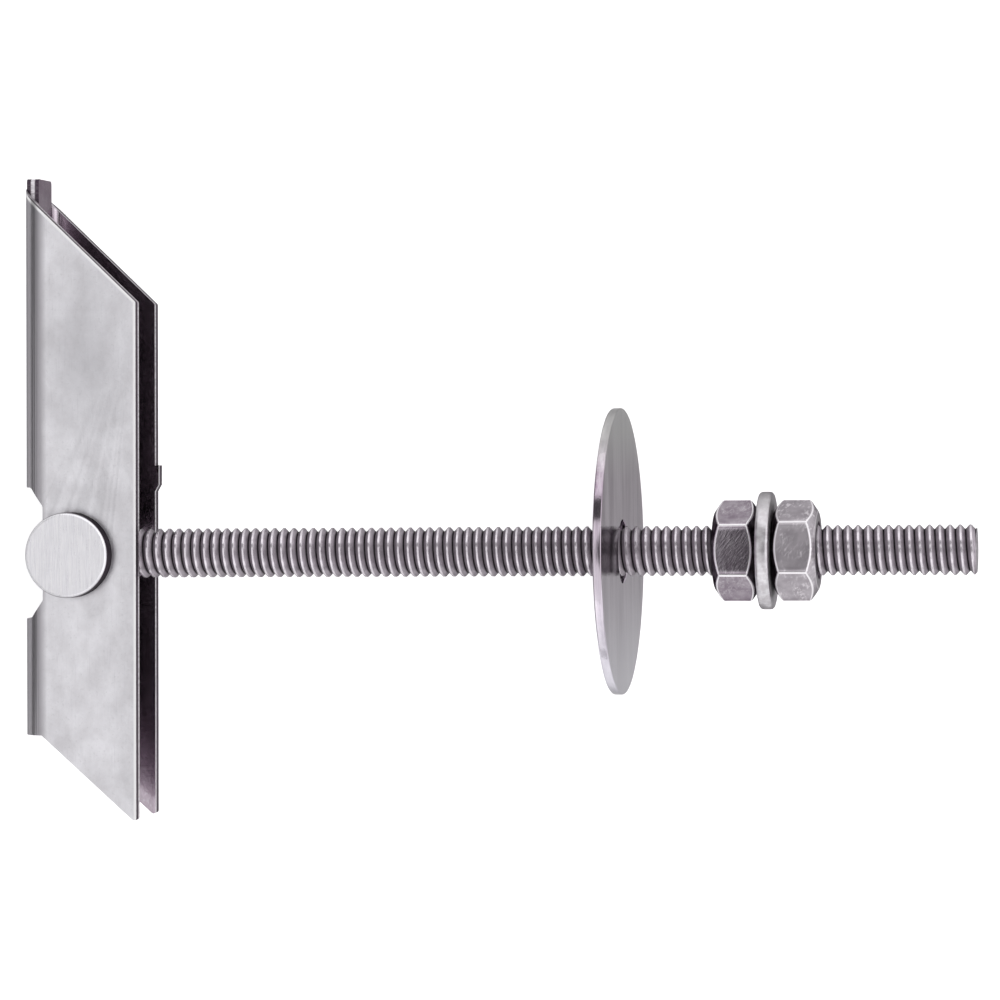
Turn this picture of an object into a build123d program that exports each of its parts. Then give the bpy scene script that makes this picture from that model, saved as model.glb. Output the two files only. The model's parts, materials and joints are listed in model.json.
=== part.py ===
from build123d import *
from math import asin, atan2, cos, degrees, hypot, radians, sin, sqrt, tan
import os

# Gravity toggle anchor for hollow walls and ceilings. A folded steel channel swings on a cross nut at the end
# of a long threaded rod. A large washer and two hex nuts with a small washer between them sit on the rod.
# Sizes in millimetres. The pieces are drawn in the rod's own axes and then laid down together:
# X runs along the rod from the pivot to its free end, Y along the channel's long end, Z along the cross nut.

# Rod, 1/4 inch with 20 threads to the inch. Threads are plain at the crest diameter.
rod_d = 6.35
rod_length = 120.0
rod_past_pivot = 4.6
rod_end_chamfer = 0.3
thread_clearance = 0.04

# Cross nut
cross_nut_d = 10.9
cross_nut_proud = 2.2
cross_nut_edge = 0.3
pivot_clearance = 0.05

# Channel, folded from sheet. Its web lies behind the pivot, its free edges face the wall.
sheet = 1.6
rod_side_gap = 0.6
bend_r = 2.6
web_behind_pivot = 6.5
edge_before_pivot = 8.7
stands_off_square = -0.6

# Long end: a tongue of the web, then the flanges' slanted ends
tongue_reach = 48.4
tongue_corner_r = 0.4
long_edge_reach = 32.4
long_end_slant = 43.3
tongue_root_r = 5.0
tongue_root_behind = 0.6

# Short end: the web ends square, the flanges run on to a point
short_web_reach = 23.3
short_tip_reach = 34.4
tip_r = 0.3

# Cut-out in the web that leaves room for the cross nut
cutout_depth = 2.8
cutout_square_depth = 1.1
cutout_long_side = 8.6
cutout_short_side = 8.3
cutout_slant = 2.4
cutout_r = 0.6

# Stamping nib on one free edge
nib_height = 0.5
nib_from = 8.0
nib_length = 3.4
nib_slope = 0.9

# Large washer, standing at its place on the rod
washer_d = 36.2
washer_hole_d = 8.0
washer_thickness = 1.1
washer_edge_r = 0.2
washer_from_pivot = 70.5
washer_seat_gap = 0.05

# Nuts and the small washer between them
nut_across_flats = 11.11
nut_thickness = 5.56
nut_chamfer_slope = 30.0
nut_face_ring_d = 10.6
nut_mouth = 0.45
inner_nut_turn = 2.3
outer_nut_turn = 5.8
small_washer_d = 14.8
small_washer_hole_d = 7.0
small_washer_thickness = 1.7
small_washer_edge_r = 0.45
nut_set_from_pivot = 89.2
nut_gap = 0.1

# Worked-out sizes
rod_r = rod_d / 2
thread_bore_r = rod_r + thread_clearance
cross_nut_r = cross_nut_d / 2
inside_width = rod_d + 2 * rod_side_gap
width = inside_width + 2 * sheet
cross_nut_length = width + 2 * cross_nut_proud
web_x = -web_behind_pivot
edge_x = edge_before_pivot
fold_x = web_x + bend_r
tongue_width = width - 2 * bend_r
washer_lift = washer_hole_d / 2 - rod_r - washer_seat_gap
nut_offset = (small_washer_thickness + nut_thickness) / 2 + nut_gap


def slanted_end_y(x):
    """Height of the flanges' slanted long end above the pivot, at x."""
    return long_edge_reach + (edge_x - x) * tan(radians(long_end_slant))


def side_prism(outline):
    """A side outline in X and Y, taken through the channel's whole width."""
    return extrude(outline, amount=width, both=True)


def corners_at(outline, *places):
    """The outline's vertices at these X, Y places."""
    return [min(outline.vertices(), key=lambda v: hypot(v.X - x, v.Y - y)) for x, y in places]


def folded_section(length_up, length_down):
    """The sheet's U-shaped section, drawn in X and Z and run along Y."""
    depth = edge_x - web_x
    outer = Pos(web_x + depth / 2, 0) * Rectangle(depth, width)
    inner = Pos(web_x + sheet + depth / 2, 0) * Rectangle(depth, inside_width)
    outer = fillet(outer.vertices().sort_by(Axis.X)[:2], bend_r)
    inner = fillet(inner.vertices().sort_by(Axis.X)[:2], bend_r - sheet)
    start = Plane(origin=(0, length_up, 0), x_dir=(1, 0, 0), z_dir=(0, -1, 0))
    return extrude(start * (outer - inner), amount=length_up + length_down)


def flange_outline():
    """Side outline of the flanges and folds, without the tongue.

    The curve at the tongue's root runs out a little behind the web, so it meets the web's face at an angle.
    """
    root_x = web_x - tongue_root_behind
    root = (root_x, slanted_end_y(root_x))
    above_root = (root_x, root[1] + 3 * tongue_root_r)
    behind = (root_x - tongue_root_r, above_root[1])
    tip = (edge_x, -short_tip_reach)
    points = [
        behind,
        above_root,
        root,
        (edge_x, long_edge_reach),
        tip,
        (fold_x, -short_web_reach),
        (behind[0], -short_web_reach),
    ]
    outline = make_face(Polyline(*points, close=True))
    outline = fillet(corners_at(outline, root), tongue_root_r)
    return fillet(corners_at(outline, tip, points[3]), tip_r)


def cutout_outline():
    """Side outline of what is cut from the web and the folds around the pivot."""
    outside = web_x - bend_r
    square_x = web_x + cutout_square_depth
    deep_x = web_x + cutout_depth
    corners = [
        (square_x, cutout_long_side),
        (deep_x, cutout_long_side - cutout_slant),
        (deep_x, cutout_slant - cutout_short_side),
        (square_x, -cutout_short_side),
    ]
    points = [(outside, cutout_long_side), *corners, (outside, -cutout_short_side)]
    outline = make_face(Polyline(*points, close=True))
    return fillet(corners_at(outline, *corners), cutout_r)


def nib():
    """The nib on the free edge of the lower flange."""
    points = [
        (edge_x - nib_height, nib_from),
        (edge_x, nib_from),
        (edge_x + nib_height, nib_from + nib_slope),
        (edge_x + nib_height, nib_from + nib_length),
        (edge_x - nib_height, nib_from + nib_length),
    ]
    face = make_face(Polyline(*points, close=True))
    return Pos(0, 0, -width / 2) * extrude(face, amount=sheet)


def toggle_channel():
    flanges = folded_section(tongue_reach, short_tip_reach) & side_prism(flange_outline())
    tongue_start = long_edge_reach
    tongue_length = tongue_reach - tongue_start
    tongue = Pos(web_x + sheet / 2, tongue_start + tongue_length / 2, 0) * Box(sheet, tongue_length, tongue_width)
    tongue = fillet(tongue.edges().filter_by(Axis.X).group_by(Axis.Y)[-1], tongue_corner_r)
    body = flanges + tongue + nib() - side_prism(cutout_outline())
    return body - Cylinder(cross_nut_r + pivot_clearance, 2 * cross_nut_length)


def cross_nut():
    bar = Cylinder(cross_nut_r, cross_nut_length)
    bar = chamfer(bar.edges().filter_by(GeomType.CIRCLE), cross_nut_edge)
    return bar - Rot(0, 90, 0) * Cylinder(thread_bore_r, 2 * cross_nut_d)


def threaded_rod():
    rod = Rot(0, 90, 0) * Cylinder(rod_r, rod_length, align=(Align.CENTER, Align.CENTER, Align.MIN))
    rod = chamfer(rod.edges().filter_by(GeomType.CIRCLE), rod_end_chamfer)
    return Pos(-rod_past_pivot, 0, 0) * rod


def flat_washer(outer_d, hole_d, thickness, edge_r):
    """A round washer about X, with rounded outer edges."""
    disc = Cylinder(outer_d / 2, thickness)
    disc = fillet(disc.edges().filter_by(GeomType.CIRCLE), edge_r)
    return Rot(0, 90, 0) * (disc - Cylinder(hole_d / 2, 2 * thickness))


def hex_nut():
    """A hex nut about X, chamfered at both faces, with corners towards plus and minus Y."""
    corner_r = nut_across_flats / sqrt(3)
    blank = extrude(RegularPolygon(corner_r, 6), amount=nut_thickness / 2, both=True)
    drop = (corner_r - nut_face_ring_d / 2) * tan(radians(nut_chamfer_slope))
    half = nut_thickness / 2
    profile = Polyline(
        (0, -half),
        (nut_face_ring_d / 2, -half),
        (corner_r, drop - half),
        (corner_r, half - drop),
        (nut_face_ring_d / 2, half),
        (0, half),
        close=True,
    )
    turned = revolve(Plane.XZ * make_face(profile), Axis.Z)
    bore = Cylinder(thread_bore_r, 2 * nut_thickness)
    mouth = Cone(thread_bore_r + nut_mouth, thread_bore_r, nut_mouth, align=(Align.CENTER, Align.CENTER, Align.MIN))
    upper_mouth = Pos(0, 0, half) * Rot(180, 0, 0) * mouth
    lower_mouth = Pos(0, 0, -half) * mouth
    nut = (blank & turned) - bore - upper_mouth - lower_mouth
    return Rot(0, 90, 0) * Rot(0, 0, 90) * nut


def resting_up():
    """The vertical, seen in the rod's axes, when the anchor lies on a table.

    It rests on the cross nut's lower rim, on the large washer's rim, and on the lower fold at the channel's
    long end. Each step works out the two slopes again from the height at which the cross nut rests.
    """
    ring_r = cross_nut_r - cross_nut_edge
    washer_r = washer_d / 2 - washer_edge_r
    washer_x = washer_from_pivot - washer_thickness / 2 + washer_edge_r
    fold_z = bend_r - width / 2
    turn = radians(stands_off_square)
    up_x, up_y, up_z = 0.0, 0.0, 1.0
    for _ in range(60):
        floor = -cross_nut_length / 2 * up_z - ring_r * hypot(up_x, up_y)
        washer_low = washer_lift * up_z - washer_r * hypot(up_y, up_z) - washer_edge_r
        lean = hypot(up_x, up_z)
        fold_end = slanted_end_y(fold_x - bend_r * up_x / lean)
        end_x = fold_x * cos(turn) - fold_end * sin(turn)
        end_y = fold_x * sin(turn) + fold_end * cos(turn)
        fold_low = end_x * up_x + fold_z * up_z - bend_r * lean
        up_x = (floor - washer_low) / washer_x
        up_y = (floor - fold_low) / end_y
        up_z = sqrt(1 - up_x**2 - up_y**2)
    return up_x, up_y, up_z


# Every piece at its place along the rod
pieces = {
    "toggle_channel": Rot(0, 0, stands_off_square) * toggle_channel(),
    "cross_nut": cross_nut(),
    "threaded_rod": threaded_rod(),
    "large_washer": Pos(washer_from_pivot, 0, washer_lift)
    * flat_washer(washer_d, washer_hole_d, washer_thickness, washer_edge_r),
    "inner_nut": Pos(nut_set_from_pivot - nut_offset, 0, 0) * Rot(-inner_nut_turn, 0, 0) * hex_nut(),
    "small_washer": Pos(nut_set_from_pivot, 0, 0)
    * flat_washer(small_washer_d, small_washer_hole_d, small_washer_thickness, small_washer_edge_r),
    "outer_nut": Pos(nut_set_from_pivot + nut_offset, 0, 0) * Rot(-outer_nut_turn, 0, 0) * hex_nut(),
}

# Laid down on the table, with the origin on it under the middle of the whole
rest_x, rest_y, rest_z = resting_up()
turned_down = Rot(degrees(asin(rest_y)), -degrees(atan2(rest_x, rest_z)), 0)
box = Compound([turned_down * piece for piece in pieces.values()]).bounding_box()
laid = Pos(-box.center().X, -box.center().Y, -box.min.Z) * turned_down

os.makedirs("parts", exist_ok=True)
for node, piece in pieces.items():
    export_step(laid * piece, f"parts/{node}.step")
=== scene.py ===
import json
import math

import bmesh
import bpy
from mathutils import Matrix, Vector, noise


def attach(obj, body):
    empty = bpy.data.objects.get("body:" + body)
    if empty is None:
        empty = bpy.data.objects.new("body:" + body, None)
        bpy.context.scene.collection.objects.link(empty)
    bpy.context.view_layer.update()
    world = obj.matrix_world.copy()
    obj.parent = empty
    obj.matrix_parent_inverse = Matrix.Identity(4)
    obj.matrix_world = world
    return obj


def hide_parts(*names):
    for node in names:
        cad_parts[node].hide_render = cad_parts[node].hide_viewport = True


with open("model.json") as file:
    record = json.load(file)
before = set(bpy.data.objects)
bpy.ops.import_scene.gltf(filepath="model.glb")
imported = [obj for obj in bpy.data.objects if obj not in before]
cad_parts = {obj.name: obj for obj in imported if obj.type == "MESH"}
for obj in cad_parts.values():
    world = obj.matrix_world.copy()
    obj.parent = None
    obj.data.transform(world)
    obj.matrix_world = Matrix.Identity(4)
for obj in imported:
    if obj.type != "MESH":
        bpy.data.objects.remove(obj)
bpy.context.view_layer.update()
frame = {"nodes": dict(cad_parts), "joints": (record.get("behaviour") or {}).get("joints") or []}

# Gravity toggle anchor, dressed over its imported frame. Pieces are shaped in the rod's own axes, in
# millimetres: X runs along the rod from the pivot to its free end, Y along the channel's long end and
# Z along the cross nut. They are then laid where the frame says.
MM = 0.001

# Camera, fitted to the outlines in the photograph
CAMERA_PLACE = (0.0269561, 0.0351093, 0.4976175)
CAMERA_TURN = (-0.0735, 0.0531, -0.0131)
CAMERA_LENS = 137.29
SENSOR = 36.0
CLIP_START = 0.01

# Thread, 1/4 inch with 20 threads to the inch. CREST_HALF is half the crest's flat, in turns.
PITCH = 1.27
THREAD_ROOT_R = 2.6
THREAD_START = 0.3
CREST_HALF = 1 / 12
ROD_ANGLES = 44
ROD_COLUMNS = 12
ROD_END_CHAMFER = 0.32

# Nuts. The side angles, in degrees, run across one flat, close together at its corners.
NUT_MINOR_R = 2.78
NUT_THREAD_GAP = 0.06
NUT_MOUTH = 0.5
NUT_RING_R = 4.85
NUT_SLOPE = math.radians(34)
NUT_CORNER_R = 0.25
NUT_SOFT_EDGE = 0.2
NUT_SOFT_STEPS = 4
NUT_THREAD_COLUMNS = 80
NUT_SIDE_ANGLES = (
    -30, -29.4, -28.7, -27.8, -26.5, -23, -18, -12, -6, 0, 6, 12, 18, 23, 26.5, 27.8, 28.7, 29.4,
)

# Washers
WASHER_STEPS = 144
WASHER_SOFT_STEPS = 4
LARGE_HOLE_R = 4.0
SMALL_HOLE_R = 3.5

# Channel, with the sizes of the part's source
SHEET = 1.6
BEND_R = 2.6
WIDTH = 10.75
WEB_X = -6.5
FREE_EDGE_X = 8.7
FREE_EDGE_END_Y = 32.4
LONG_END_SLANT = math.radians(43.3)
STANDS_OFF_SQUARE = math.radians(-0.6)
DULL_PATCH = (2.0, 26.0, 5.0)
DULL_PATCH_SIZE = (7.5, 14.0, 20.0)
FOLD_STEPS = 14
FOLD_SLACK = 1e-3
FOLD_FACET_DEPTH = 0.12
DIE_ROLL = 0.16
BURR = 0.06
OUTSIDE, INSIDE, CUT_EDGE = 0, 1, 2

# Cross nut
BAR_EDGE = 0.07

# Angles in degrees: below the first, facets count as one flat face. Above the others, an edge is sharp.
FLAT_ANGLE = 1
SHARP_TO_BEVEL = 28
SHARP_TO_SHADE = 35
SHARP_ON_THREAD = 40

# Light by direction. A panel's place is x / (1 + z) and y / (1 + z) of the direction that it is seen in:
# left, right, low and high edge, how softly it fades across and up, and its strength.
PANELS = (
    (-0.66, 0.9, -1.05, 0.3, 0.42, 0.07, 1.15),
    (-0.5, 0.75, 0.42, 1.1, 0.12, 0.06, 1.5),
    (0.3, 1.0, -0.5, 0.95, 0.1, 0.1, 1.5),
)
DARK_LEVEL = 0.12
WORLD_TINT = (1.0, 0.985, 1.0, 1)

# The dark gap for the camera overhead, from its full depth at the inner radius to none at the outer one
GAP_LEVEL = 0.04
GAP_PLACE = (0.0, 0.05, 0.0)
GAP_INNER = 0.115
GAP_OUTER = 0.175

# How the light fades towards the front: where that starts and ends, and what is left of it
FRONT_FADE = (-0.35, -0.75, 0.7)

FRONT_LIGHT_PLACE = (-0.15, -0.9, 0.55)
FRONT_LIGHT_SIZE = (1.4, 0.8)
FRONT_LIGHT_POWER = 1.2

# White table. Its glow is what each kind of ray sees of it besides the light that falls on it.
TABLE_REACH = 4.0
TABLE_COLOUR = (0.85, 0.85, 0.85, 1)
TABLE_GLOW = (("Is Camera Ray", 0.62), ("Is Glossy Ray", 0.29), ("Is Transmission Ray", 0.25))


# The rod's axes

joints = {joint["name"]: joint for joint in frame["joints"]}
along = Vector(joints["nut_travel"]["axis"])
upright = Vector(joints["toggle_pivot"]["axis"])
sideways = upright.cross(along)
turned = Matrix((along, sideways, upright)).transposed().to_4x4()
laid = Matrix.Translation(joints["toggle_pivot"]["pos_m"]) @ turned
rod_to_frame = laid @ Matrix.Scale(MM, 4)
frame_to_rod = rod_to_frame.inverted()


def rod_places(node):
    """A CAD node's vertices in the rod's axes."""
    return [frame_to_rod @ vertex.co for vertex in frame["nodes"][node].data.vertices]


def rod_box(node):
    """Lowest and highest corner of a CAD node in the rod's axes."""
    places = rod_places(node)
    return [Vector([pick(p[i] for p in places) for i in range(3)]) for pick in (min, max)]


def crest_radius():
    """The thread's radius at its crests, which is the CAD rod's."""
    low, high = rod_box("threaded_rod")
    return (high.y - low.y) / 2


def corner_of(node):
    """A nut's corner: its distance from the rod's axis, and its angle about it from Y towards Z."""
    corner = max(rod_places(node), key=lambda p: math.hypot(p.y, p.z))
    return math.hypot(corner.y, corner.z), math.atan2(corner.z, corner.y)


# Mesh helpers

def piece(name, mesh, body, node, materials, sharp=SHARP_TO_SHADE, weighted=True):
    """Puts a mesh that was shaped in the rod's axes in its place, riding on a body for a CAD node."""
    mesh.transform(rod_to_frame)
    mesh.shade_smooth()
    mesh.set_sharp_from_angle(angle=math.radians(sharp))
    for material in materials:
        mesh.materials.append(material)
    obj = bpy.data.objects.new(name, mesh)
    bpy.context.scene.collection.objects.link(obj)
    if weighted:
        flatten = obj.modifiers.new("flat faces stay flat", "WEIGHTED_NORMAL")
        flatten.keep_sharp = True
    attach(obj, body)
    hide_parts(node)
    return obj


def ring_mesh(name, angles, section, painted=None):
    """A closed ring about the rod. section(angle) is its outline there, as x and radius.

    painted is the number of the material on each run of the outline, in order.
    """
    loops = [[(x, r * math.cos(a), r * math.sin(a)) for x, r in section(a)] for a in angles]
    count = len(loops[0])
    faces = []
    for j in range(len(loops)):
        here, after = j * count, (j + 1) % len(loops) * count
        for k in range(count):
            step = (k + 1) % count
            faces.append((here + k, here + step, after + step, after + k))
    mesh = bpy.data.meshes.new(name)
    mesh.from_pydata([v for loop in loops for v in loop], [], faces)
    work = bmesh.new()
    work.from_mesh(mesh)
    bmesh.ops.recalc_face_normals(work, faces=work.faces)
    work.to_mesh(mesh)
    work.free()
    if painted:
        mesh.polygons.foreach_set("material_index", painted * len(loops))
    return mesh


def softened(points, size, steps):
    """An open run of points with its inner corners rounded."""
    run = [points[0]]
    for before, corner, after in zip(points, points[1:], points[2:]):
        corner, before, after = Vector(corner), Vector(before), Vector(after)
        reach = min(size, 0.4 * (before - corner).length, 0.4 * (after - corner).length)
        enter = corner + (before - corner).normalized() * reach
        leave = corner + (after - corner).normalized() * reach
        for i in range(steps):
            t = i / (steps - 1)
            run.append(tuple(enter * (1 - t) ** 2 + corner * 2 * t * (1 - t) + leave * t * t))
    return run + [points[-1]]


def thread_r(x, angle, crest_r):
    """Radius of the right-hand thread at a place along the rod and an angle about it."""
    turns = (x - THREAD_START) / PITCH - angle / math.tau
    off_crest = abs(turns - round(turns))
    t = min(max((off_crest - CREST_HALF) / (0.5 - CREST_HALF), 0), 1)
    return crest_r + (THREAD_ROOT_R - crest_r) * t


def welded(name, node):
    """A CAD node's shape in the rod's axes, with its flat faces whole, ready to be worked on."""
    mesh = frame["nodes"][node].data.copy()
    mesh.name = name
    mesh.materials.clear()
    mesh.transform(frame_to_rod)
    work = bmesh.new()
    work.from_mesh(mesh)
    bmesh.ops.remove_doubles(work, verts=work.verts, dist=1e-4)
    flat = math.radians(FLAT_ANGLE)
    bmesh.ops.dissolve_limit(work, angle_limit=flat, verts=work.verts, edges=work.edges)
    return mesh, work


def soften_edges(work, size, segments, wanted=lambda edge: True):
    """Rounds the sharp edges that are wanted."""
    sharp = [
        edge for edge in work.edges
        if len(edge.link_faces) == 2
        and edge.calc_face_angle() > math.radians(SHARP_TO_BEVEL)
        and wanted(edge)
    ]
    bmesh.ops.bevel(
        work,
        geom=sharp,
        offset=size,
        segments=segments,
        profile=0.5,
        affect="EDGES",
        clamp_overlap=True,
        material=-1,
    )


def worked(mesh, work, body, node, materials):
    """Puts a worked CAD shape in its place."""
    work.to_mesh(mesh)
    work.free()
    for layer in [a for a in mesh.attributes if a.name == "custom_normal"]:
        mesh.attributes.remove(layer)
    return piece(mesh.name, mesh, body, node, materials)


# Node helpers. A tree's owner is a material or the world.

def new_material(name, edge_tint):
    """A metal and its shader. The edge tint is how much it still reflects at a grazing angle."""
    material = bpy.data.materials.new(name)
    material.use_nodes = True
    shader = material.node_tree.nodes["Principled BSDF"]
    shader.inputs["Metallic"].default_value = 1.0
    shader.inputs["Specular Tint"].default_value = (edge_tint, edge_tint, edge_tint, 1.0)
    return material, shader


def node_of(owner, kind, inputs=None, **settings):
    """A node with its settings, and its inputs given as values or as other nodes' outputs."""
    node = owner.node_tree.nodes.new(kind)
    for key, value in settings.items():
        setattr(node, key, value)
    for key, value in (inputs or {}).items():
        if isinstance(value, bpy.types.NodeSocket):
            owner.node_tree.links.new(value, node.inputs[key])
        else:
            node.inputs[key].default_value = value
    return node


def maths(owner, operation, first, second=0.0):
    """The result of a sum on numbers."""
    return node_of(owner, "ShaderNodeMath", {0: first, 1: second}, operation=operation).outputs[0]


def vector_maths(owner, operation, first, second=(0, 0, 0)):
    """The outputs of a sum on vectors: a vector or a number, as the operation gives."""
    inputs = {0: first, 1: second}
    return node_of(owner, "ShaderNodeVectorMath", inputs, operation=operation).outputs


def parts_of(owner, place):
    """A place's X, Y and Z."""
    return node_of(owner, "ShaderNodeSeparateXYZ", {"Vector": place}).outputs


def spread(owner, value, low, high, to_low=0.0, to_high=1.0, steps="LINEAR"):
    """A value's span from low to high, mapped to another span and held there."""
    inputs = {"Value": value, "From Min": low, "From Max": high, "To Min": to_low, "To Max": to_high}
    return node_of(owner, "ShaderNodeMapRange", inputs, interpolation_type=steps).outputs["Result"]


def rod_space(material):
    """A place on the surface in the rod's axes, in millimetres."""
    inputs = {
        "Vector": node_of(material, "ShaderNodeTexCoord").outputs["Object"],
        "Location": laid.to_translation(),
        "Rotation": laid.to_euler("XYZ"),
        "Scale": (MM, MM, MM),
    }
    return node_of(material, "ShaderNodeMapping", inputs, vector_type="TEXTURE").outputs["Vector"]


def turned_about_z(material, place, angle):
    """A place turned about the cross nut's direction."""
    inputs = {"Vector": place, "Angle": angle}
    return node_of(material, "ShaderNodeVectorRotate", inputs, rotation_type="Z_AXIS").outputs[0]


def channel_space(material):
    """A place on the surface in the channel's own axes, in millimetres."""
    return turned_about_z(material, rod_space(material), -STANDS_OFF_SQUARE)


def off_axis(material, place, across="YZ"):
    """Distance from an axis, given by the two directions across it: the rod's, unless told otherwise."""
    parts = parts_of(material, place)
    flat = node_of(material, "ShaderNodeCombineXYZ", {part: parts[part] for part in across}).outputs[0]
    return vector_maths(material, "LENGTH", flat)["Value"]


def noise_of(material, place, scale, detail=4.0, stretch=(1, 1, 1), roughness=0.55):
    """Noise from 0 to 1, stretched along the rod's axes. Scale is in features a millimetre."""
    place = vector_maths(material, "MULTIPLY", place, stretch)[0]
    inputs = {"Vector": place, "Scale": scale, "Detail": detail, "Roughness": roughness}
    return node_of(material, "ShaderNodeTexNoise", inputs).outputs["Fac"]


def blended(material, amount, first, second):
    """Two colours mixed by an amount."""
    first, second = [(*c, 1.0) if isinstance(c, tuple) else c for c in (first, second)]
    inputs = {0: amount, 6: first, 7: second}
    return node_of(material, "ShaderNodeMix", inputs, data_type="RGBA").outputs[2]


def bumped(material, shader, height, distance, strength=0.3):
    """Raises the surface by a height from 0 to 1, times a distance in metres."""
    inputs = {"Height": height, "Distance": distance, "Strength": strength}
    bump = node_of(material, "ShaderNodeBump", inputs)
    material.node_tree.links.new(bump.outputs["Normal"], shader.inputs["Normal"])


def finish_with(material, shader, colour, roughness):
    """Links a colour and a roughness to the shader."""
    material.node_tree.links.new(colour, shader.inputs["Base Color"])
    material.node_tree.links.new(roughness, shader.inputs["Roughness"])


# Materials

def sheet_edge_highlight(material, place):
    """1 beside the channel's free edge and slanted long end, where a highlight is painted."""
    from_free_edge = maths(material, "SUBTRACT", FREE_EDGE_X, parts_of(material, place)["X"])
    corner = (FREE_EDGE_X, FREE_EDGE_END_Y, 0)
    down = (-math.sin(LONG_END_SLANT), -math.cos(LONG_END_SLANT), 0)
    off_corner = vector_maths(material, "SUBTRACT", place, corner)[0]
    from_slant = vector_maths(material, "DOT_PRODUCT", off_corner, down)["Value"]
    return spread(material, maths(material, "MINIMUM", from_free_edge, from_slant), 0.42, 0.2)


def patch_and_painted_light(material, place, colour):
    """The channel's outer skin: a dull patch at its long end, painted shade on the folds and a painted
    highlight beside its free edge and slanted long end.
    """
    inputs = {"Vector": place, "Location": DULL_PATCH, "Scale": DULL_PATCH_SIZE}
    off_patch = node_of(material, "ShaderNodeMapping", inputs, vector_type="TEXTURE").outputs[0]
    off_patch = vector_maths(material, "LENGTH", off_patch)["Value"]
    colour = blended(material, spread(material, off_patch, 1.0, 0.1, 0.0, 0.4), colour, (0.4, 0.4, 0.42))
    x = parts_of(material, place)["X"]
    # Painted shade along the outer folds.
    before_face = spread(material, x, WEB_X + BEND_R + 0.75, WEB_X + BEND_R - 0.25)
    off_web = spread(material, x, WEB_X, WEB_X + 0.4)
    fold_shade = maths(material, "MULTIPLY", before_face, off_web)
    colour = blended(material, fold_shade, colour, (0.36, 0.35, 0.37))
    # Painted highlight beside the free edge and slanted long end.
    return blended(material, sheet_edge_highlight(material, place), colour, (0.95, 0.95, 0.95))


def zinc_sheet(name, roughness, edge_tint, dark, light, outside):
    """Dull plated sheet: cloudy patches and grain, with faint rolling lines along the channel."""
    material, shader = new_material(name, edge_tint=edge_tint)
    place = channel_space(material)
    clouds = noise_of(material, place, 0.32, 7.0, (1, 0.7, 1), 0.62)
    grain = noise_of(material, place, 2.4, 5.0)
    lines = noise_of(material, place, 1.8, 3.0, (3.0, 0.1, 3.0))
    colour = blended(material, spread(material, clouds, 0.36, 0.66), dark, light)
    for pattern, low, high, tint in (
        (grain, 0.5, 0.7, (0.76, 0.76, 0.79)),
        (grain, 0.42, 0.3, (0.5, 0.5, 0.52)),
        (lines, 0.6, 0.74, (0.48, 0.47, 0.5)),
    ):
        colour = blended(material, spread(material, pattern, low, high, 0.0, 0.3), colour, tint)
    if outside:
        colour = patch_and_painted_light(material, place, colour)
    finish_with(material, shader, colour, spread(material, grain, 0.3, 0.7, roughness, roughness + 0.08))
    bumped(material, shader, grain, 0.00003)
    return material


def turned_steel():
    """The cross nut: sawn and plated, with fine lines across its end faces and its barrel painted near black
    as painted shade.
    """
    material, shader = new_material("turned_steel", edge_tint=0.25)
    place = rod_space(material)
    lines = noise_of(material, place, 2.6, 4.0, (4.0, 0.16, 1.0))
    wide_lines = noise_of(material, place, 0.9, 2.0, (4.0, 0.1, 1.0))
    patches = noise_of(material, place, 0.5, 3.0)
    colour = blended(material, spread(material, lines, 0.35, 0.65), (0.66, 0.66, 0.69), (0.82, 0.82, 0.84))
    colour = blended(material, spread(material, wide_lines, 0.45, 0.7, 0.0, 0.5), colour, (0.86, 0.86, 0.86))
    colour = blended(material, spread(material, patches, 0.5, 0.75, 0.0, 0.3), colour, (0.64, 0.64, 0.66))
    # Painted shade: the barrel is coloured near black.
    barrel_r = rod_box("cross_nut")[1].y
    barrel = spread(material, off_axis(material, place, "XY"), barrel_r - 0.1, barrel_r - 0.02)
    colour = blended(material, barrel, colour, (0.17, 0.15, 0.17))
    finish_with(material, shader, colour, spread(material, lines, 0.3, 0.7, 0.26, 0.34))
    bumped(material, shader, lines, 0.00003)
    return material


def thread_steel():
    """The rod: bright worn crests over grooves painted dark as painted shade."""
    material, shader = new_material("thread_steel", edge_tint=0.08)
    shader.inputs["Metallic"].default_value = 0.62
    place = rod_space(material)
    height = maths(material, "SUBTRACT", off_axis(material, place), THREAD_ROOT_R)
    grime = noise_of(material, place, 1.3, 5.0)
    marks = noise_of(material, place, 0.8, 3.0, (2.5, 1.0, 1.0))
    # Painted shade: near black at the thread's root, lighter up the flanks.
    flank = spread(material, height, 0.04, 0.18)
    crest = spread(material, height, 0.48, 0.55)
    colour = blended(material, flank, (0.015, 0.01, 0.015), (0.4, 0.365, 0.4))
    colour = blended(material, spread(material, marks, 0.5, 0.72, 0.0, 0.5), colour, (0.16, 0.14, 0.16))
    colour = blended(material, crest, colour, (0.72, 0.68, 0.72))
    colour = blended(material, spread(material, grime, 0.55, 0.75, 0.0, 0.4), colour, (0.18, 0.15, 0.18))
    finish_with(material, shader, colour, spread(material, crest, 0, 1, 0.32, 0.16))
    bumped(material, shader, grime, 0.00004, 0.4)
    return material


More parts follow.
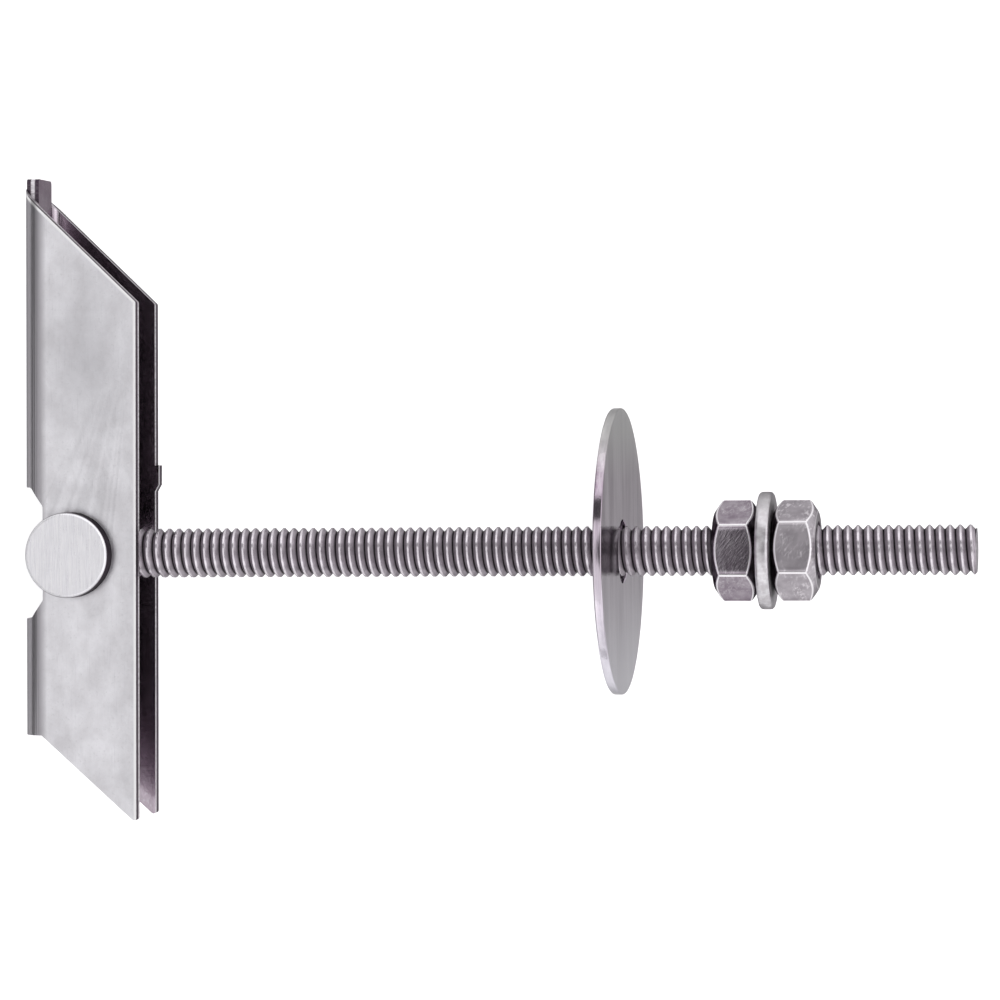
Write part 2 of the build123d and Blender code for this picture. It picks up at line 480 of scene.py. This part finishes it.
def polished_steel():
    """The large washer: smooth plating, streaked up and down, with painted shade that greys its top and
    painted light that lightens it below.
    """
    material, shader = new_material("polished_steel", edge_tint=0.47)
    place = rod_space(material)
    streaks = noise_of(material, place, 1.0, 4.0, (1.0, 0.04, 0.34))
    fine = noise_of(material, place, 1.3, 3.0, (1.0, 0.12, 2.5))
    height = parts_of(material, place)["Y"]
    colour = blended(material, spread(material, streaks, 0.36, 0.64), (0.26, 0.2, 0.26), (0.6, 0.54, 0.6))
    colour = blended(material, spread(material, fine, 0.4, 0.7, 0.0, 0.5), colour, (0.44, 0.4, 0.44))
    # Painted shade: a greyer, greener top. Painted light: lighter below the rod's axis.
    colour = blended(material, spread(material, height, 9.0, 15.0, 0.0, 0.7), colour, (0.5, 0.52, 0.49))
    colour = blended(material, spread(material, height, 0.0, -16.0, 0.0, 0.75), colour, (0.82, 0.82, 0.88))
    finish_with(material, shader, colour, spread(material, streaks, 0.3, 0.7, 0.08, 0.15))
    bumped(material, shader, fine, 0.00003)
    return material


def nut_edge_highlight(material, place, node):
    """1 along a nut's corners and along the inner sides of its chamfers' edges, where a highlight is
    painted.
    """
    low, high = rod_box(node)
    middle, half = (low.x + high.x) / 2, (high.x - low.x) / 2
    off_middle = maths(material, "SUBTRACT", parts_of(material, place)["X"], middle)
    off_middle = maths(material, "ABSOLUTE", off_middle)
    radius = off_axis(material, place)
    cone = spread(material, radius, NUT_RING_R, NUT_RING_R + 2, half, half - 2 * math.tan(NUT_SLOPE))
    inside = maths(material, "SUBTRACT", cone, off_middle)
    near_cone = spread(material, inside, 0.2, 0.13)
    at_end = maths(material, "MULTIPLY", near_cone, spread(material, inside, 0.0, 0.04))
    corner_r, _ = corner_of(node)
    at_corner = spread(material, radius, corner_r - 0.12, corner_r - 0.08)
    return maths(material, "MAXIMUM", at_end, at_corner)


def nut_steel(name, node, dark, light, scratch, roughness):
    """A nut: plated and clouded, scratched on its flats, with a painted highlight along their edges."""
    material, shader = new_material(name, edge_tint=0.25)
    place = rod_space(material)
    clouds = noise_of(material, place, 0.5, 6.0)
    across = noise_of(material, place, 1.5, 3.0, (2.2, 0.5, 0.8))
    slanted = turned_about_z(material, place, math.radians(40))
    slanted = noise_of(material, slanted, 1.8, 4.0, (2.2, 0.6, 1.0))
    patches = noise_of(material, place, 0.35, 2.0)
    where = spread(material, patches, 0.42, 0.62, 0.0, scratch)
    colour = blended(material, spread(material, clouds, 0.35, 0.65), dark, light)
    for lines, low in ((across, 0.56), (slanted, 0.54)):
        strength = maths(material, "MULTIPLY", spread(material, lines, low, low + 0.08), where)
        colour = blended(material, strength, colour, (0.8, 0.77, 0.8))
    edges = nut_edge_highlight(material, place, node)
    # Painted highlight along the corners and chamfer edges.
    colour = blended(material, edges, colour, (0.92, 0.9, 0.92))
    finish_with(material, shader, colour, spread(material, edges, 0, 1, roughness, 0.45))
    bumped(material, shader, slanted, 0.00003)
    return material


def shade_painted_steel():
    """Rough faces painted near black as painted shade: the nuts' bores, and their ends but for the outermost
    one.
    """
    material, shader = new_material("shade_painted_steel", edge_tint=0.3)
    place = rod_space(material)
    grime = noise_of(material, place, 0.9, 5.0)
    colour = blended(material, spread(material, grime, 0.35, 0.65), (0.05, 0.04, 0.05), (0.16, 0.14, 0.16))
    finish_with(material, shader, colour, spread(material, grime, 0.3, 0.7, 0.3, 0.45))
    bumped(material, shader, grime, 0.00003)
    return material


def bright_steel():
    """The small washer and the rod's ends: bright plating with a soft grain, and painted shade that greys
    the washer's top.
    """
    material, shader = new_material("bright_steel", edge_tint=0.2)
    place = rod_space(material)
    grain = noise_of(material, place, 1.2, 5.0)
    height = parts_of(material, place)["Y"]
    colour = blended(material, spread(material, grain, 0.4, 0.66), (0.52, 0.5, 0.52), (0.72, 0.71, 0.73))
    # Painted shade: greyer towards the top.
    colour = blended(material, spread(material, height, 3.0, 6.0, 0.0, 0.5), colour, (0.42, 0.41, 0.42))
    finish_with(material, shader, colour, spread(material, grain, 0.3, 0.7, 0.32, 0.42))
    bumped(material, shader, grain, 0.00004)
    return material


def sheared_steel():
    """The sheet's cut edges: dark towards the outer skin and bright beyond. The tongue's are dark towards
    both skins."""
    material, shader = new_material("sheared_steel", edge_tint=0.5)
    place = channel_space(material)
    parts = parts_of(material, place)
    off_middle = maths(material, "ABSOLUTE", parts["Z"])
    from_flange = spread(material, off_middle, WIDTH / 2, WIDTH / 2 - SHEET)
    from_web = spread(material, parts["X"], WEB_X, WEB_X + SHEET)
    tears = noise_of(material, place, 1.6, 5.0, (0.6, 2.5, 0.6))
    dark_band, bright_band = (0.08, 0.06, 0.08), (0.85, 0.82, 0.85)
    on_flange = blended(material, spread(material, from_flange, 0.6, 0.7), dark_band, bright_band)
    on_tongue = blended(material, spread(material, from_web, 0.3, 0.38), dark_band, bright_band)
    on_tongue = blended(material, spread(material, from_web, 0.62, 0.7), on_tongue, dark_band)
    fold_z = WIDTH / 2 - BEND_R
    past_fold = spread(material, off_middle, fold_z + 0.1, fold_z + 0.4)
    colour = blended(material, past_fold, on_tongue, on_flange)
    colour = blended(material, spread(material, tears, 0.45, 0.65, 0.0, 0.45), colour, (0.2, 0.18, 0.2))
    finish_with(material, shader, colour, spread(material, tears, 0.3, 0.7, 0.3, 0.5))
    bumped(material, shader, tears, 0.00005, 0.5)
    return material


# Pieces

def threaded_surface(low_x, high_x, crest_r):
    """Vertices and faces of the threaded rod's side, open at both ends and a few turns too long."""
    first = math.floor(low_x / PITCH) - 2
    columns = (math.ceil(high_x / PITCH) + 2 - first) * ROD_COLUMNS
    verts = []
    for j in range(ROD_ANGLES):
        angle = math.tau * j / ROD_ANGLES
        for k in range(columns):
            x = THREAD_START + PITCH * (first + k / ROD_COLUMNS + j / ROD_ANGLES)
            from_end = min(x - low_x, high_x - x)
            r = min(thread_r(x, angle, crest_r), crest_r - ROD_END_CHAMFER + max(from_end, -0.1))
            verts.append((x, r * math.cos(angle), r * math.sin(angle)))
    faces = []
    for j in range(ROD_ANGLES):
        after, shift = (j + 1, 0) if j + 1 < ROD_ANGLES else (0, ROD_COLUMNS)
        for k in range(columns - 1 - shift):
            corners = (j, k), (j, k + 1), (after, k + 1 + shift), (after, k + shift)
            faces.append([row * columns + column for row, column in corners])
    return verts, faces


def cut_end(work, x, way):
    """Cuts the rod square at x, where way points out of it, and closes it with its second material."""
    geom = work.verts[:] + work.edges[:] + work.faces[:]
    cut = bmesh.ops.bisect_plane(
        work, geom=geom, dist=1e-5, plane_co=(x, 0, 0), plane_no=(way, 0, 0), clear_outer=True
    )
    rim = [e for e in cut["geom_cut"] if isinstance(e, bmesh.types.BMEdge)]
    for face in bmesh.ops.holes_fill(work, edges=rim, sides=0)["faces"]:
        face.material_index = 1


def threaded_rod(end_finish):
    """The rod with its thread, sawn square and slightly chamfered at both ends."""
    low, high = rod_box("threaded_rod")
    verts, faces = threaded_surface(low.x, high.x, crest_radius())
    mesh = bpy.data.meshes.new("rod_with_thread")
    mesh.from_pydata(verts, [], faces)
    work = bmesh.new()
    work.from_mesh(mesh)
    cut_end(work, low.x, -1)
    cut_end(work, high.x, 1)
    loose = [v for v in work.verts if not v.link_faces]
    bmesh.ops.delete(work, geom=loose, context="VERTS")
    bmesh.ops.recalc_face_normals(work, faces=work.faces)
    work.to_mesh(mesh)
    work.free()
    materials = [thread_steel(), end_finish]
    rod = piece(mesh.name, mesh, "rod", "threaded_rod", materials, sharp=SHARP_ON_THREAD, weighted=False)
    for face in rod.data.polygons:
        face.use_smooth = face.material_index == 0
    return rod


def hex_r(angle, flat_r):
    """Radius of the nut's rounded hexagon at an angle from a corner."""
    off_flat = (angle % (math.pi / 3)) - math.pi / 6
    off_corner = math.pi / 6 - abs(off_flat)
    centre = (flat_r - NUT_CORNER_R) / math.cos(math.pi / 6)
    across = centre * math.sin(off_corner)
    if across < NUT_CORNER_R:
        rounded = centre * math.cos(off_corner) + math.sqrt(NUT_CORNER_R**2 - across**2)
        return min(rounded, flat_r / math.cos(off_flat))
    return flat_r / math.cos(off_flat)


def nut(name, node, body, finish, bore_shade, dark_ends):
    """A hex nut with its chamfers and thread. dark_ends says if its inner and outer end take its bore's
    painted shade.
    """
    low, high = rod_box(node)
    middle, half = (low.x + high.x) / 2, (high.x - low.x) / 2
    corner_r, turn = corner_of(node)
    flat_r = corner_r * math.cos(math.pi / 6)
    crest_r = crest_radius()
    mouth_r = crest_r + NUT_MOUTH

    def section(angle):
        side_r = hex_r(angle - turn, flat_r)
        drop = (side_r - NUT_RING_R) * math.tan(NUT_SLOPE)
        outline = [
            (-half, mouth_r),
            (-half, NUT_RING_R),
            (drop - half, side_r),
            (half - drop, side_r),
            (half, NUT_RING_R),
            (half, mouth_r),
        ]
        outline = [(middle + x, r) for x, r in softened(outline, NUT_SOFT_EDGE, NUT_SOFT_STEPS)]
        for k in range(1, NUT_THREAD_COLUMNS):
            x = half - 2 * half * k / NUT_THREAD_COLUMNS
            cone = mouth_r - (half - abs(x))
            threaded = thread_r(middle + x, angle, crest_r) + NUT_THREAD_GAP
            outline.append((middle + x, max(threaded, cone, NUT_MINOR_R)))
        return outline

    inner_end, outer_end = [[int(dark)] * (NUT_SOFT_STEPS + 1) for dark in dark_ends]
    side = [0] * (2 * NUT_SOFT_STEPS - 1)
    painted = inner_end + side + outer_end + [1] * NUT_THREAD_COLUMNS
    angles = [turn + math.radians(30 + 60 * flat + a) for flat in range(6) for a in NUT_SIDE_ANGLES]
    mesh = ring_mesh(name, angles, section, painted)
    return piece(name, mesh, body, node, [finish, bore_shade])


def washer(name, node, body, finish, hole_r, soft, wobble):
    """A stamped washer with soft edges and a slightly uneven rim."""
    low, high = rod_box(node)
    lift = (low.z + high.z) / 2
    rim_r = (high.z - low.z) / 2
    left, right = low.x, high.x

    def section(angle):
        uneven = wobble * noise.noise(Vector((math.cos(angle) * 2, math.sin(angle) * 2, rim_r)))
        rim = rim_r - abs(uneven)
        outline = [((left + right) / 2, hole_r), (left, hole_r), (left, rim), (right, rim), (right, hole_r)]
        outline = softened([*outline, outline[0]], soft, WASHER_SOFT_STEPS)
        return outline[:-1]

    angles = [math.tau * j / WASHER_STEPS for j in range(WASHER_STEPS)]
    mesh = ring_mesh(name, angles, section)
    mesh.transform(Matrix.Translation((0, 0, lift)))
    return piece(name, mesh, body, node, [finish])


def cross_bar():
    """The cross nut, with its edges rounded."""
    mesh, work = welded("cross_bar", "cross_nut")
    soften_edges(work, BAR_EDGE, 2)
    return worked(mesh, work, "rod", "cross_nut", [turned_steel()])


def sheet_part(face):
    """Which part of the channel's sheet a face is on."""
    place, normal = face.calc_center_median(), face.normal
    fold = Vector((WEB_X + BEND_R, 0, WIDTH / 2 - BEND_R))
    from_outside = WIDTH / 2 - abs(place.z)
    if place.x < fold.x and abs(place.z) > fold.z:
        from_outside = BEND_R - math.hypot(place.x - fold.x, abs(place.z) - fold.z)
    elif abs(normal.x) > 0.9:
        from_outside = place.x - WEB_X
    if abs(normal.y) > 0.05 or (abs(normal.x) > 0.9 and place.x > fold.x):
        return CUT_EDGE
    if abs(from_outside) < 0.05:
        return OUTSIDE
    return INSIDE if abs(from_outside - SHEET) < 0.05 else CUT_EDGE


def on_fold(place, axis):
    """Whether a place in the channel's section is past a fold's axis both ways."""
    past = (place.z - axis.z) * math.copysign(1, axis.z)
    return place.x < axis.x + FOLD_SLACK and past > -FOLD_SLACK


def refine_folds(work):
    """Cuts the folds' coarse facets into finer ones and lays them on their true round."""
    for side in (-1, 1):
        axis = Vector((WEB_X + BEND_R, 0, side * (WIDTH / 2 - BEND_R)))
        for k in range(1, FOLD_STEPS):
            around = math.pi / 2 * k / FOLD_STEPS
            normal = Vector((math.sin(around), 0, side * math.cos(around)))
            faces = [f for f in work.faces if on_fold(f.calc_center_median(), axis)]
            edges = [e for f in faces for e in f.edges]
            verts = [v for f in faces for v in f.verts]
            geom = list(dict.fromkeys([*faces, *edges, *verts]))
            bmesh.ops.bisect_plane(work, geom=geom, dist=1e-4, plane_co=axis, plane_no=normal)
        for vert in work.verts:
            if on_fold(vert.co, axis):
                out = Vector((vert.co.x - axis.x, 0, vert.co.z - axis.z))
                for true_r in (BEND_R, BEND_R - SHEET):
                    if abs(out.length - true_r) < FOLD_FACET_DEPTH:
                        vert.co += out * (true_r / out.length - 1)


def rolled(edge):
    """Whether the punch rolled this edge over: an outer one that doesn't face the short end."""
    parts = {face.material_index for face in edge.link_faces}
    return parts == {CUT_EDGE, OUTSIDE} and all(face.normal.y > -0.2 for face in edge.link_faces)


def folded_channel():
    """The channel, with its edges rolled over or left with a fine burr, and its cut edges bare."""
    mesh, work = welded("folded_channel", "toggle_channel")
    square = Matrix.Rotation(-STANDS_OFF_SQUARE, 4, "Z")
    bmesh.ops.transform(work, matrix=square, verts=work.verts)
    refine_folds(work)
    work.normal_update()
    for face in work.faces:
        face.material_index = sheet_part(face)
    soften_edges(work, DIE_ROLL, 3, rolled)
    soften_edges(work, BURR, 2, lambda edge: not rolled(edge))
    bmesh.ops.transform(work, matrix=square.inverted(), verts=work.verts)
    materials = [
        zinc_sheet("zinc_sheet", 0.32, 0.4, (0.66, 0.655, 0.675), (0.82, 0.82, 0.845), outside=True),
        # The inner skin's darker colours are painted shade inside the channel.
        zinc_sheet("inner_zinc", 0.12, 0.2, (0.4, 0.34, 0.39), (0.52, 0.46, 0.51), outside=False),
        sheared_steel(),
    ]
    return worked(mesh, work, "channel", "toggle_channel", materials)


# Stage

def floor():
    """A white table that shows as white and keeps the object's shadow."""
    mesh = bpy.data.meshes.new("floor")
    corners = [(x * TABLE_REACH, y * TABLE_REACH, 0) for x, y in ((-1, -1), (1, -1), (1, 1), (-1, 1))]
    mesh.from_pydata(corners, [], [(0, 1, 2, 3)])
    obj = bpy.data.objects.new("floor", mesh)
    bpy.context.scene.collection.objects.link(obj)
    material = bpy.data.materials.new("white_table")
    material.use_nodes = True
    material.node_tree.nodes.clear()
    diffuse = node_of(material, "ShaderNodeBsdfDiffuse", {"Color": TABLE_COLOUR})
    rays = node_of(material, "ShaderNodeLightPath").outputs
    glow = 0.0
    for ray, strength in TABLE_GLOW:
        glow = maths(material, "MAXIMUM", maths(material, "MULTIPLY", rays[ray], strength), glow)
    emission = node_of(material, "ShaderNodeEmission", {"Color": (1, 1, 1, 1), "Strength": glow})
    both = node_of(material, "ShaderNodeAddShader", {0: diffuse.outputs[0], 1: emission.outputs[0]})
    node_of(material, "ShaderNodeOutputMaterial", {"Surface": both.outputs[0]})
    mesh.materials.append(material)


def sky():
    """Soft panels by direction, as over a product table, with a dark gap for the camera overhead."""
    world = bpy.data.worlds.new("studio")
    bpy.context.scene.world = world
    world.use_nodes = True
    parts = parts_of(world, node_of(world, "ShaderNodeTexCoord").outputs["Generated"])
    below = maths(world, "ADD", parts["Z"], 1.0001)
    x, y = [maths(world, "DIVIDE", parts[axis], below) for axis in "XY"]
    level = DARK_LEVEL
    for left, right, low, high, soft_x, soft_y, strength in PANELS:
        sides = [(x, left, soft_x), (x, right, -soft_x), (y, low, soft_y), (y, high, -soft_y)]
        for value, edge, inwards in sides:
            strength = spread(world, value, edge, edge + inwards, 0.0, strength, "SMOOTHSTEP")
        level = maths(world, "MAXIMUM", level, strength)
    place = node_of(world, "ShaderNodeCombineXYZ", {"X": x, "Y": y}).outputs[0]
    away = vector_maths(world, "DISTANCE", place, GAP_PLACE)["Value"]
    gap = spread(world, away, GAP_INNER, GAP_OUTER, GAP_LEVEL, 1.0, "SMOOTHSTEP")
    start, end, faded = FRONT_FADE
    fade = spread(world, y, start, end, 1.0, faded, "SMOOTHSTEP")
    level = maths(world, "MULTIPLY", maths(world, "MULTIPLY", level, gap), fade)
    background = world.node_tree.nodes["Background"]
    background.inputs["Color"].default_value = WORLD_TINT
    world.node_tree.links.new(level, background.inputs["Strength"])


def front_light():
    """A soft lamp in front that faces the middle of the object."""
    light = bpy.data.lights.new("front_light", "AREA")
    light.shape = "RECTANGLE"
    light.size, light.size_y = FRONT_LIGHT_SIZE
    light.energy = FRONT_LIGHT_POWER
    obj = bpy.data.objects.new("front_light", light)
    bpy.context.scene.collection.objects.link(obj)
    obj.location = FRONT_LIGHT_PLACE
    obj.rotation_euler = (-Vector(FRONT_LIGHT_PLACE)).to_track_quat("-Z", "Y").to_euler()


def camera():
    """The camera, looking down on the object as in the photograph."""
    data = bpy.data.cameras.new("camera")
    data.lens = CAMERA_LENS
    data.sensor_width = SENSOR
    data.clip_start = CLIP_START
    obj = bpy.data.objects.new("camera", data)
    bpy.context.scene.collection.objects.link(obj)
    obj.location = CAMERA_PLACE
    obj.rotation_euler = CAMERA_TURN
    bpy.context.scene.camera = obj


bpy.context.scene.view_settings.view_transform = "Standard"
camera()
floor()
sky()
front_light()
bright = bright_steel()
threaded_rod(bright)
# The inner nut's darker colours are painted shade on its flats.
dark_nut = nut_steel("nut_steel", "inner_nut", (0.26, 0.22, 0.26), (0.42, 0.38, 0.42), 0.25, 0.14)
light_nut = nut_steel("nut_steel_lighter", "outer_nut", (0.34, 0.315, 0.34), (0.47, 0.44, 0.47), 0.7, 0.3)
# Painted shade for the nuts' bores and for the ends that sit between parts.
dull = shade_painted_steel()
nut("inner_hex_nut", "inner_nut", "inner", dark_nut, dull, dark_ends=(True, True))
nut("outer_hex_nut", "outer_nut", "outer", light_nut, dull, dark_ends=(True, False))
washer("wide_washer", "large_washer", "wall_washer", polished_steel(), LARGE_HOLE_R, soft=0.2, wobble=0.05)
washer("thick_washer", "small_washer", "nut_carrier", bright, SMALL_HOLE_R, soft=0.45, wobble=0.03)
cross_bar()
folded_channel()
